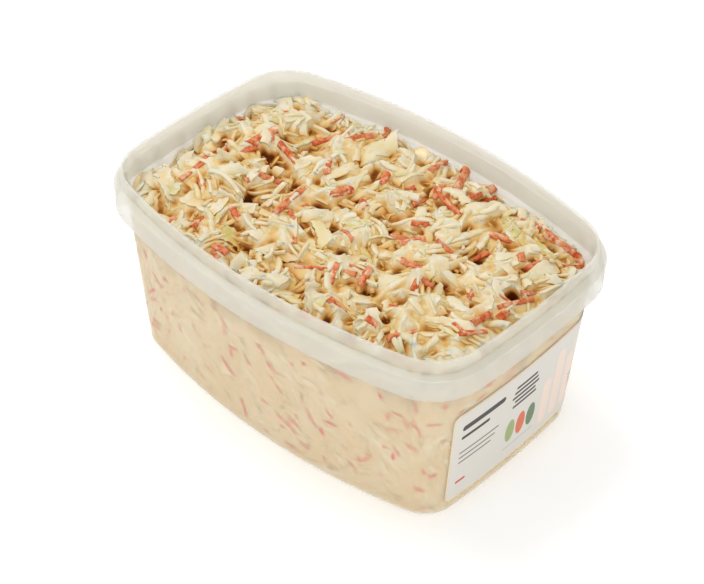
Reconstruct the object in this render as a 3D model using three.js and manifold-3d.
// A family tub of coleslaw. The open tub is one thin plastic moulding with a raised lip, a ledge
// for the lid and a hanging skirt. It is filled to just below the lip with dressed cabbage and
// carrot, and a paper label wraps round one end.
// Lengths are millimetres and +Z is up. The origin is under the middle of the tub's floor, the
// long axis is X, and the label is on the +X end.
import * as THREE from "three";
import { mergeVertices } from "three/addons/utils/BufferGeometryUtils.js";
import Module from "manifold-3d";

// The tub's largest outline, at the skirt: a rectangle with bowed sides and round corners.
const LENGTH = 200;
const WIDTH = 140;
const HEIGHT = 93;
const LONG_SIDE_BOW = 16;
const SHORT_SIDE_BOW = 5.3;
const CORNER_RADIUS = 27.3;

// Heights of the rim's features above the floor's underside: the skirt's lower edge, the step
// where the wall widens into the neck, and the ledge that rises a little towards the lip.
const SKIRT_BOTTOM = 75.2;
const STEP = 79;
const STEP_HEIGHT = 1.9;
const LEDGE = 86;
const LEDGE_RISE = 1.6;

// Insets are distances inwards from the largest outline, and thicknesses are across the wall.
const WALL_INSET_AT_BASE = 11.4;
const WALL_INSET_AT_SKIRT = 5.7;
const NECK_INSET = 4.3;
const NECK_LEAN = 0.5;
const LIP_INSET = 3.2;
const LIP_THICKNESS = 1.5;
const WALL = 0.8;
const SKIRT_WALL = 1;
const FLOOR = 1.1;

// Small roundings: along the base, inside along the floor, on the lip, and the bead that stands
// out along the skirt's upper edge.
const BASE_EDGE = 1.4;
const FLOOR_FILLET = 3.2;
const LIP_ROUND = 0.7;
const BEAD = 0.25;

// How many straight steps each arc of a quarter outline takes: end, corner and long side.
const TUB_STEPS = [2, 5, 5];
const CORE_STEPS = [2, 4, 5];

// Distances of the rim's stiffening ribs from the middle of an end, along the outline.
const RIB_PLACES = [8, 23, 35, 48, 61];
const RIB_THICKNESS = 0.9;
const RIB_RAISE = 1.2;
const RIB_BITE = 0.5;

// The salad's clear distance from the tub, its mean level, the highest that a piece reaches,
// and how far the core's top falls at the wall.
const GAP = 0.3;
const FILL_LEVEL = 77.5;
const HIGHEST = 87;
const EDGE_DROP = 1.5;

// The salad's bumps and hollows, each with its place, its height and its radius.
const CLUMPS = [
  { x: -77, y: 20, height: 7, radius: 19 },
  { x: -64, y: -20, height: 4.5, radius: 12 },
  { x: -56, y: 28, height: -5.5, radius: 8 },
  { x: -68, y: -34, height: -5, radius: 8 },
  { x: -89, y: -12, height: -5, radius: 9 },
  { x: -42, y: -18, height: -4, radius: 6 },
  { x: -28, y: 40, height: 3, radius: 15 },
  { x: -18, y: -14, height: 3, radius: 16 },
  { x: -25, y: -1, height: -3.5, radius: 7 },
  { x: 20, y: 22, height: 3.5, radius: 20 },
  { x: 52, y: -8, height: 3, radius: 18 },
  { x: 34, y: -22, height: -3.5, radius: 8 },
  { x: 74, y: 24, height: 3, radius: 14 },
  { x: 78, y: -24, height: 2.5, radius: 12 },
];

// Low waves all over the salad: direction in degrees, wavelength, height and phase.
const WAVES = [
  { toward: 20, length: 31, height: 1.3, phase: 0.4 },
  { toward: 97, length: 23, height: 1.2, phase: 1.9 },
  { toward: 151, length: 17, height: 1.0, phase: 4.1 },
  { toward: 62, length: 13, height: 0.8, phase: 2.6 },
];

// What shows on top, at true size: how many of each piece and its smallest and largest sizes.
const LEAVES = { count: 15, length: [11, 17], width: [8, 12], thickness: 0.9 };
const STICKS = { count: 28, length: [12, 27], side: [2.8, 3.7] };
const SHREDS = { count: 76, length: [14, 30], width: [2.2, 4.2], thickness: 1.1 };
const SHRED_STEPS = 4;
const PIECE_MARGIN = 0.5;
const SEED = 20417;

// The label on the +X end: from its left edge round the +Y corner, and up from its lower edge.
const LABEL_START = -42;
const LABEL_END = 66;
const LABEL_LOW = 7;
const LABEL_HIGH = 57;
const LABEL_THICKNESS = 0.25;
const LABEL_CORNER = 3;
const LABEL_COLUMNS = 19;

const wasm = await Module();
wasm.setup();

// A seeded stream of even random numbers from 0 to 1.
function randomStream(seed) {
  let state = seed;
  return () => {
    state = (state * 1664525 + 1013904223) % 4294967296;
    return state / 4294967296;
  };
}

const random = randomStream(SEED);

function between([low, high]) {
  return low + (high - low) * random();
}

// The outline is made of arcs: one on each end, one on each long side and a fillet between two.
// This finds their centres, radii and the angles where the fillet starts and ends.
function outlineArcs() {
  const half = { x: LENGTH / 2, y: WIDTH / 2 };
  const longRadius = (half.x ** 2 + LONG_SIDE_BOW ** 2) / (2 * LONG_SIDE_BOW);
  const endRadius = (half.y ** 2 + SHORT_SIDE_BOW ** 2) / (2 * SHORT_SIDE_BOW);
  const longCentre = new THREE.Vector2(0, half.y - longRadius);
  const endCentre = new THREE.Vector2(half.x - endRadius, 0);
  const toLong = longRadius - CORNER_RADIUS;
  const toEnd = endRadius - CORNER_RADIUS;
  const line = endCentre.clone().sub(longCentre);
  const apart = line.length();
  line.normalize();
  const along = (toLong ** 2 - toEnd ** 2 + apart ** 2) / (2 * apart);
  const aside = Math.sqrt(toLong ** 2 - along ** 2);
  const across = new THREE.Vector2(line.y, -line.x);
  const cornerCentre = longCentre.clone().addScaledVector(line, along).addScaledVector(across, aside);
  const fillet = {
    start: cornerCentre.clone().sub(endCentre).angle(),
    end: cornerCentre.clone().sub(longCentre).angle(),
  };
  return [
    { centre: endCentre, radius: endRadius, from: 0, to: fillet.start },
    { centre: cornerCentre, radius: CORNER_RADIUS, from: fillet.start, to: fillet.end },
    { centre: longCentre, radius: longRadius, from: fillet.end, to: Math.PI / 2 },
  ];
}

const ARCS = outlineArcs();

function pointOnArc(arc, angle, inset) {
  const radius = arc.radius - inset;
  return [arc.centre.x + radius * Math.cos(angle), arc.centre.y + radius * Math.sin(angle)];
}

// A quarter of the outline from the middle of the +X end to the middle of the +Y side, moved
// inwards by inset. Each arc takes its own number of steps.
function quarterOutline(inset, steps) {
  const points = [pointOnArc(ARCS[0], 0, inset)];
  ARCS.forEach((arc, index) => {
    for (let step = 1; step <= steps[index]; step += 1) {
      const angle = THREE.MathUtils.lerp(arc.from, arc.to, step / steps[index]);
      points.push(pointOnArc(arc, angle, inset));
    }
  });
  return points;
}

// The whole closed outline, anticlockwise seen from above.
function outline(inset, steps = TUB_STEPS) {
  const quarter = quarterOutline(inset, steps);
  const mirrored = quarter.slice(0, -1).reverse().map(([x, y]) => [-x, y]);
  const upper = [...quarter, ...mirrored];
  const lower = upper.slice(1, -1).reverse().map(([x, y]) => [x, -y]);
  return [...upper, ...lower];
}

// The point at a distance along the outline from the middle of the +X end, towards +Y where it
// is positive, on the outline that is inset. Distances are measured on the largest outline.
function placeAlong(distance, inset) {
  let left = Math.abs(distance);
  for (const arc of ARCS) {
    const angle = arc.from + left / arc.radius;
    if (angle <= arc.to || arc === ARCS[2]) {
      const [x, y] = pointOnArc(arc, angle, inset);
      return [x, Math.sign(distance) * y];
    }
    left -= (arc.to - arc.from) * arc.radius;
  }
  return null;
}

// The tub's outer wall leans evenly from the base to the skirt.
function wallInset(z) {
  const share = z / SKIRT_BOTTOM;
  return THREE.MathUtils.lerp(WALL_INSET_AT_BASE, WALL_INSET_AT_SKIRT, share);
}

// Rings of [x, y, z] points with equal counts, joined into one closed solid. The last ring is
// shut by a fan to lastCentre, and the first by a fan to firstCentre.
function solidOfRings(rings, firstCentre, lastCentre) {
  const count = rings[0].length;
  const positions = rings.flat(2);
  const triangles = [];
  for (let ring = 0; ring + 1 < rings.length; ring += 1) {
    for (let side = 0; side < count; side += 1) {
      const next = (side + 1) % count;
      const a = ring * count + side;
      const b = ring * count + next;
      triangles.push(a, b, b + count, a, b + count, a + count);
    }
  }
  const first = rings.length * count;
  const last = first + 1;
  positions.push(...firstCentre, ...lastCentre);
  const lastRing = (rings.length - 1) * count;
  for (let side = 0; side < count; side += 1) {
    const next = (side + 1) % count;
    triangles.push(first, next, side);
    triangles.push(last, lastRing + side, lastRing + next);
  }
  return geometryOf(positions, triangles);
}

function geometryOf(positions, triangles) {
  const geometry = new THREE.BufferGeometry();
  geometry.setAttribute("position", new THREE.Float32BufferAttribute(positions, 3));
  geometry.setIndex(triangles);
  return geometry;
}

// A closed geometry as a solid that can be joined, and back again.
function toSolid(geometry) {
  const merged = mergeVertices(geometry);
  return new wasm.Manifold(
    new wasm.Mesh({
      numProp: 3,
      vertProperties: merged.getAttribute("position").array,
      triVerts: new Uint32Array(merged.index.array),
    }),
  );
}

function toGeometry(solid) {
  const mesh = solid.getMesh();
  return geometryOf(Array.from(mesh.vertProperties), Array.from(mesh.triVerts));
}

// The tub's section, from the edge of its base up the outside, over the rim and down the
// inside to the edge of its floor. Each entry is an inset and a height.
function tubProfile() {
  const innerAt = (z) => wallInset(z) + WALL;
  const lipInner = LIP_INSET + LIP_THICKNESS;
  const lipFoot = LEDGE + LEDGE_RISE;
  const lipShoulder = HEIGHT - LIP_ROUND;
  const underLedge = LEDGE - SKIRT_WALL;
  const stepFoot = STEP - STEP_HEIGHT / 2;
  const stepTop = STEP + STEP_HEIGHT / 2;
  const outside = [
    [WALL_INSET_AT_BASE + BASE_EDGE, 0],
    [WALL_INSET_AT_BASE + BASE_EDGE * 0.3, BASE_EDGE * 0.3],
    [wallInset(BASE_EDGE), BASE_EDGE],
    [wallInset(stepFoot), stepFoot - BEAD],
    [NECK_INSET + NECK_LEAN, stepTop - BEAD],
  ];
  const skirt = [
    [NECK_INSET, underLedge + BEAD * 2],
    [SKIRT_WALL + BEAD, underLedge - BEAD],
    [SKIRT_WALL, SKIRT_BOTTOM],
    [SKIRT_WALL / 2, SKIRT_BOTTOM - BEAD],
    [BEAD, SKIRT_BOTTOM + BEAD],
    [BEAD, LEDGE - BEAD * 4],
    [0, LEDGE - BEAD * 2],
    [BEAD, LEDGE + BEAD],
  ];
  const lip = [
    [LIP_INSET - BEAD, lipFoot - BEAD],
    [LIP_INSET, lipFoot + BEAD],
    [LIP_INSET, lipShoulder],
    [LIP_INSET + LIP_ROUND / 2, HEIGHT - LIP_ROUND / 5],
    [LIP_INSET + LIP_THICKNESS / 2, HEIGHT],
    [lipInner - LIP_ROUND / 2, HEIGHT - LIP_ROUND / 5],
    [lipInner, lipShoulder],
    [lipInner + BEAD / 2, lipFoot],
  ];
  const inside = [
    [NECK_INSET + NECK_LEAN + WALL, stepTop],
    [innerAt(stepFoot), stepFoot],
    [innerAt(FLOOR + FLOOR_FILLET), FLOOR + FLOOR_FILLET],
    [innerAt(FLOOR) + FLOOR_FILLET * 0.3, FLOOR + FLOOR_FILLET * 0.3],
    [innerAt(FLOOR) + FLOOR_FILLET, FLOOR],
  ];
  return [...outside, ...skirt, ...lip, ...inside];
}

// One rib stands across the channel between the wall and the skirt, biting into both.
function ribSolid(distance, signX) {
  const half = RIB_THICKNESS / 2;
  const outer = SKIRT_WALL - RIB_BITE;
  const ends = [
    { z: SKIRT_BOTTOM + RIB_RAISE, inner: wallInset(SKIRT_BOTTOM) + RIB_BITE },
    { z: LEDGE - RIB_BITE, inner: NECK_INSET + RIB_BITE },
  ];
  const rings = ends.map(({ z, inner }) => {
    const corners = [
      placeAlong(distance - half, outer),
      placeAlong(distance + half, outer),
      placeAlong(distance + half, inner),
      placeAlong(distance - half, inner),
    ].map(([x, y]) => [signX * x, y, z]);
    return signX > 0 ? corners : corners.reverse();
  });
  const middle = (ring) => ring[0].map((_, axis) => (ring[0][axis] + ring[2][axis]) / 2);
  return toSolid(solidOfRings(rings, middle(rings[0]), middle(rings[1])));
}

function buildTub() {
  const rings = tubProfile().map(([inset, z]) => outline(inset).map(([x, y]) => [x, y, z]));
  let tub = toSolid(solidOfRings(rings, [0, 0, 0], [0, 0, FLOOR]));
  for (const place of RIB_PLACES) {
    for (const signX of [1, -1]) {
      for (const distance of [place, -place]) {
        tub = tub.add(ribSolid(distance, signX));
      }
    }
  }
  return toGeometry(tub);
}

// How far the salad's side is from the largest outline, at a height.
function saladInset(z) {
  return wallInset(Math.min(z, STEP - STEP_HEIGHT / 2)) + WALL + GAP;
}

// The height of the salad's bare surface over a place.
function saladHeight(x, y) {
  let z = FILL_LEVEL;
  for (const clump of CLUMPS) {
    const away = (x - clump.x) ** 2 + (y - clump.y) ** 2;
    z += clump.height * Math.exp(-away / clump.radius ** 2);
  }
  for (const wave of WAVES) {
    const toward = THREE.MathUtils.degToRad(wave.toward);
    const run = x * Math.cos(toward) + y * Math.sin(toward);
    z += wave.height * Math.sin((2 * Math.PI * run) / wave.length + wave.phase);
  }
  return z;
}

// The body of the salad fills the tub's inside and ends in an uneven top.
function saladCore() {
  const bottom = FLOOR + GAP;
  const side = [
    { extra: FLOOR_FILLET, z: bottom },
    { extra: FLOOR_FILLET * 0.3, z: bottom + FLOOR_FILLET * 0.3 },
    { extra: 0, z: bottom + FLOOR_FILLET },
    { extra: 0, z: STEP / 2 },
  ];
  const rings = side.map(({ extra, z }) =>
    outline(saladInset(z) + extra, CORE_STEPS).map(([x, y]) => [x, y, z]),
  );
  const edge = outline(saladInset(STEP), CORE_STEPS);
  rings.push(
    edge.map(([x, y], index) => {
      const z = saladHeight(x, y) - EDGE_DROP;
      return [...outline(saladInset(z), CORE_STEPS)[index], z];
    }),
  );
  for (const share of [0.92, 0.81, 0.7, 0.59, 0.48, 0.37, 0.25, 0.12]) {
    rings.push(
      edge.map(([x, y]) => [x * share, y * share, saladHeight(x * share, y * share)]),
    );
  }
  return toSolid(solidOfRings(rings, [0, 0, bottom], [0, 0, saladHeight(0, 0)]));
}

// True where every point of a piece is inside the tub's wall and below the free space.
function fits(points) {
  return points.every(
    ([x, y, z]) => insetOf(x, y) > saladInset(z) + PIECE_MARGIN && z < HIGHEST,
  );
}

// How far a place is inside the largest outline, from the arc that it faces.
function insetOf(x, y) {
  const place = new THREE.Vector2(Math.abs(x), Math.abs(y));
  const [end, corner, side] = ARCS;
  const angle = place.clone().sub(corner.centre).angle();
  const facesCorner = angle > corner.from && angle < corner.to;
  const inset = (arc) => arc.radius - place.distanceTo(arc.centre);
  return facesCorner ? inset(corner) : Math.min(inset(end), inset(side));
}

// Places spread evenly over the salad. Each step adds fixed shares of the tub's box that come
// from the plastic number, so that no two places fall close together, and the places inside the
// outline are kept.
function spreadPlaces(count, offset) {
  const plastic = 1.32471795724475;
  const stride = [1 / plastic, 1 / plastic ** 2];
  const places = [];
  for (let index = 1; places.length < count; index += 1) {
    const x = (((index + offset) * stride[0]) % 1) * LENGTH - LENGTH / 2;
    const y = (((index + offset) * stride[1]) % 1) * WIDTH - WIDTH / 2;
    if (insetOf(x, y) > saladInset(STEP)) {
      places.push([x, y]);
    }
  }
  return places;
}

// A strip of four-sided section along a path. The section turns by tilt about the path.
function stripGeometry(path, width, thickness, tilt) {
  const up = new THREE.Vector3(0, 0, 1);
  const rings = path.map((point, index) => {
    const before = path[Math.max(index - 1, 0)];
    const after = path[Math.min(index + 1, path.length - 1)];
    const ahead = after.clone().sub(before).normalize();
    const side = ahead.clone().cross(up).normalize().applyAxisAngle(ahead, tilt);
    const normal = side.clone().cross(ahead);
    const taper = index === 0 || index === path.length - 1 ? 0.6 : 1;
    const corner = (across, above) =>
      point
        .clone()
        .addScaledVector(side, (across * width * taper) / 2)
        .addScaledVector(normal, (above * thickness) / 2)
        .toArray();
    return [corner(1, -1), corner(1, 1), corner(-1, 1), corner(-1, -1)].reverse();
  });
  return solidOfRings(rings, path[0].toArray(), path[path.length - 1].toArray());
}

// A cabbage shred curls over the salad: it dips in at both ends and arches between them.
function shredAt([x, y]) {
  const length = between(SHREDS.length);
  const width = between(SHREDS.width);
  const heading = between([0, 2 * Math.PI]);
  const curl = between([-1.5, 1.5]);
  const arch = between([1.6, 3.6]);
  const tilt = between([-0.7, 0.7]);
  const path = [];
  for (let step = 0; step <= SHRED_STEPS; step += 1) {
    const share = step / SHRED_STEPS - 0.5;
    const turn = heading + curl * share;
    const px = x + length * share * Math.cos(turn);
    const py = y + length * share * Math.sin(turn);
    const lift = arch * (1 - 6 * share * share);
    path.push(new THREE.Vector3(px, py, saladHeight(px, py) + lift));
  }
  return stripGeometry(path, width, SHREDS.thickness, tilt);
}

// A carrot stick is straight and square, and lies half sunk at a slight slope.
function stickAt([x, y]) {
  const length = between(STICKS.length);
  const side = between(STICKS.side);
  const heading = between([0, 2 * Math.PI]);
  const slope = between([-0.3, 0.3]);
  const path = [-0.5, 0.5].map((share) => {
    const px = x + length * share * Math.cos(heading);
    const py = y + length * share * Math.sin(heading);
    return new THREE.Vector3(px, py, saladHeight(x, y) + 1.6 + length * share * slope);
  });
  return stripGeometry(path, side, side, between([0, Math.PI / 4]));
}

// A leaf piece is a thin wavy sheet whose two faces are split into triangles alike.
function leafAt([x, y]) {
  const size = { x: between(LEAVES.length), y: between(LEAVES.width) };
  const heading = between([0, 2 * Math.PI]);
  const pitch = between([-0.35, 0.35]);
  const bend = between([0.5, 1.6]);
  const [columns, rows] = [4, 3];
  const turn = new THREE.Matrix4().makeRotationZ(heading);
  turn.multiply(new THREE.Matrix4().makeRotationX(pitch));
  const positions = [];
  for (const face of [1, -1]) {
    for (let row = 0; row < rows; row += 1) {
      for (let column = 0; column < columns; column += 1) {
        const u = column / (columns - 1) - 0.5;
        const v = row / (rows - 1) - 0.5;
        const round = 1 - 0.9 * u * u;
        const wave = bend * (Math.cos(4 * u) + 0.6 * Math.sin(6 * v + 3 * u));
        const thick = (face * LEAVES.thickness) / 2;
        const point = new THREE.Vector3(u * size.x, v * size.y * round, wave + thick);
        point.applyMatrix4(turn);
        positions.push(x + point.x, y + point.y, saladHeight(x, y) + 1.3 + point.z);
      }
    }
  }
  return geometryOf(positions, sheetTriangles(columns, rows));
}

// The triangles of a closed sheet whose upper grid of points comes first, then its lower grid.
function sheetTriangles(columns, rows) {
  const lower = columns * rows;
  const triangles = [];
  for (let row = 0; row + 1 < rows; row += 1) {
    for (let column = 0; column + 1 < columns; column += 1) {
      const a = row * columns + column;
      const [b, c, d] = [a + 1, a + columns + 1, a + columns];
      triangles.push(a, b, c, a, c, d);
      triangles.push(lower + a, lower + c, lower + b, lower + a, lower + d, lower + c);
    }
  }
  const border = sheetBorder(columns, rows);
  border.forEach((a, index) => {
    const b = border[(index + 1) % border.length];
    triangles.push(a, lower + a, lower + b, a, lower + b, b);
  });
  return triangles;
}

// The indices round the edge of a grid, anticlockwise.
function sheetBorder(columns, rows) {
  const border = [];
  for (let column = 0; column < columns - 1; column += 1) {
    border.push(column);
  }
  for (let row = 0; row < rows - 1; row += 1) {
    border.push(row * columns + columns - 1);
  }
  for (let column = columns - 1; column > 0; column -= 1) {
    border.push((rows - 1) * columns + column);
  }
  for (let row = rows - 1; row > 0; row -= 1) {
    border.push(row * columns);
  }
  return border;
}

function pointsOf(geometry) {
  const { array } = geometry.getAttribute("position");
  const points = [];
  for (let index = 0; index < array.length; index += 3) {
    points.push([array[index], array[index + 1], array[index + 2]]);
  }
  return points;
}

// Of a joined solid's closed shells, the largest: sealed hollows are filled by leaving out
// their shells, and so are loose scraps.
function largestShell(geometry) {
  const triangles = geometry.index.array;
  const parent = Array.from({ length: geometry.getAttribute("position").count }, (_, i) => i);
  const rootOf = (vertex) => {
    let root = vertex;
    while (parent[root] !== root) {
      parent[root] = parent[parent[root]];
      root = parent[root];
    }
    return root;
  };
  for (let index = 0; index < triangles.length; index += 3) {
    parent[rootOf(triangles[index])] = rootOf(triangles[index + 1]);
    parent[rootOf(triangles[index + 1])] = rootOf(triangles[index + 2]);
  }
  const shells = new Map();
  for (let index = 0; index < triangles.length; index += 3) {
    const root = rootOf(triangles[index]);
    const shell = shells.get(root) ?? [];
    shell.push(triangles[index], triangles[index + 1], triangles[index + 2]);
    shells.set(root, shell);
  }
  const largest = [...shells.values()].sort((a, b) => b.length - a.length)[0];
  return geometryOf(Array.from(geometry.getAttribute("position").array), largest);
}

function buildSalad() {
  let salad = saladCore();
  const kinds = [
    [leafAt, LEAVES.count],
    [stickAt, STICKS.count],
    [shredAt, SHREDS.count],
  ];
  kinds.forEach(([makeAt, count], kind) => {
    const walkOffset = 100 * kind;
    for (const place of spreadPlaces(count, walkOffset)) {
      const piece = makeAt(place);
      if (fits(pointsOf(piece))) {
        salad = salad.add(toSolid(piece));
      }
    }
  });
  return largestShell(toGeometry(salad));
}

// The label is a sheet that follows the leaning wall round the +Y corner, with round corners.
function buildLabel() {
  const corner = [0, 0.3, 1.1, LABEL_CORNER];
  const middle = (LABEL_LOW + LABEL_HIGH) / 2;
  const heights = [
    ...corner.map((rise) => LABEL_LOW + rise),
    middle,
    ...corner.map((rise) => LABEL_HIGH - rise).reverse(),
  ];
  const positions = [];
  for (const lift of [GAP + LABEL_THICKNESS, GAP]) {
    for (const z of heights) {
      const toEdge = Math.min(z - LABEL_LOW, LABEL_HIGH - z, LABEL_CORNER);
      const cut = LABEL_CORNER - Math.sqrt(LABEL_CORNER ** 2 - (LABEL_CORNER - toEdge) ** 2);
      for (let column = 0; column < LABEL_COLUMNS; column += 1) {
        const share = column / (LABEL_COLUMNS - 1);
        const distance = THREE.MathUtils.lerp(LABEL_START + cut, LABEL_END - cut, share);
        const [x, y] = placeAlong(distance, wallInset(z) - lift);
        positions.push(x, y, z);
      }
    }
  }
  return geometryOf(positions, sheetTriangles(LABEL_COLUMNS, heights.length));
}

// Plain milky plastic: pale, a little warm, with a soft gloss.
function tubMaterial() {
  return new THREE.MeshStandardMaterial({ color: 0xe4e1d4, roughness: 0.35, metalness: 0 });
}

// Cream dressing over pale cabbage.
function saladMaterial() {
  return new THREE.MeshStandardMaterial({ color: 0xe6d3a6, roughness: 0.4, metalness: 0 });
}

// White coated paper.
function labelMaterial() {
  return new THREE.MeshStandardMaterial({ color: 0xe9e5dc, roughness: 0.55, metalness: 0 });
}

function named(name, geometry, material) {
  const mesh = new THREE.Mesh(geometry, material);
  mesh.name = name;
  return mesh;
}

const coleslaw = new THREE.Group();
coleslaw.add(named("tub", buildTub(), tubMaterial()));
coleslaw.add(named("coleslaw", buildSalad(), saladMaterial()));
coleslaw.add(named("label", buildLabel(), labelMaterial()));

export default coleslaw;
